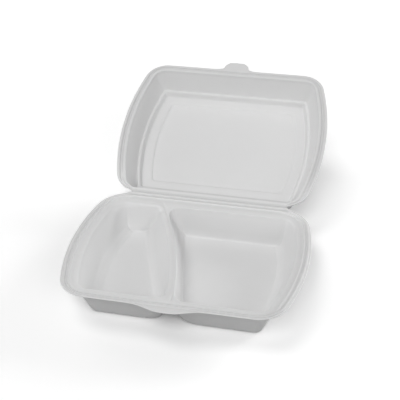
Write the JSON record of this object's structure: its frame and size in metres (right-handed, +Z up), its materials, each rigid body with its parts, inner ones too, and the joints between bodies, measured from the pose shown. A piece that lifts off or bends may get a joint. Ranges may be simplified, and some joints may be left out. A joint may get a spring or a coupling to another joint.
{
  "type": "foam clamshell container",
  "caption": "Foam clamshell meal box, open: divided tray with a curved wall between a small and a large compartment, stepped lid on a moulded hinge, lock tab.",
  "frame": {"origin": "centre of the open container's outline, on the table under the tray", "axes": "+Y from the tray's front lip over the hinge to the open lid, +X to the right seen from the front, +Z up"},
  "size_m": [0.2416, 0.3876, 0.1228],
  "materials": {
    "tray_foam": "matte foam",
    "lid_foam": "matte foam"
  },
  "bodies": {
    "tray": {"tray": "tray_foam"},
    "lid": {"lid": "lid_foam"}
  },
  "joints": [
    {"name": "lid_hinge", "type": "hinge", "parent": "tray", "child": "lid", "pos_m": [0, 0.00628, 0.03685], "axis": [1, 0, 0], "range_deg": [-25, 155]}
  ]
}
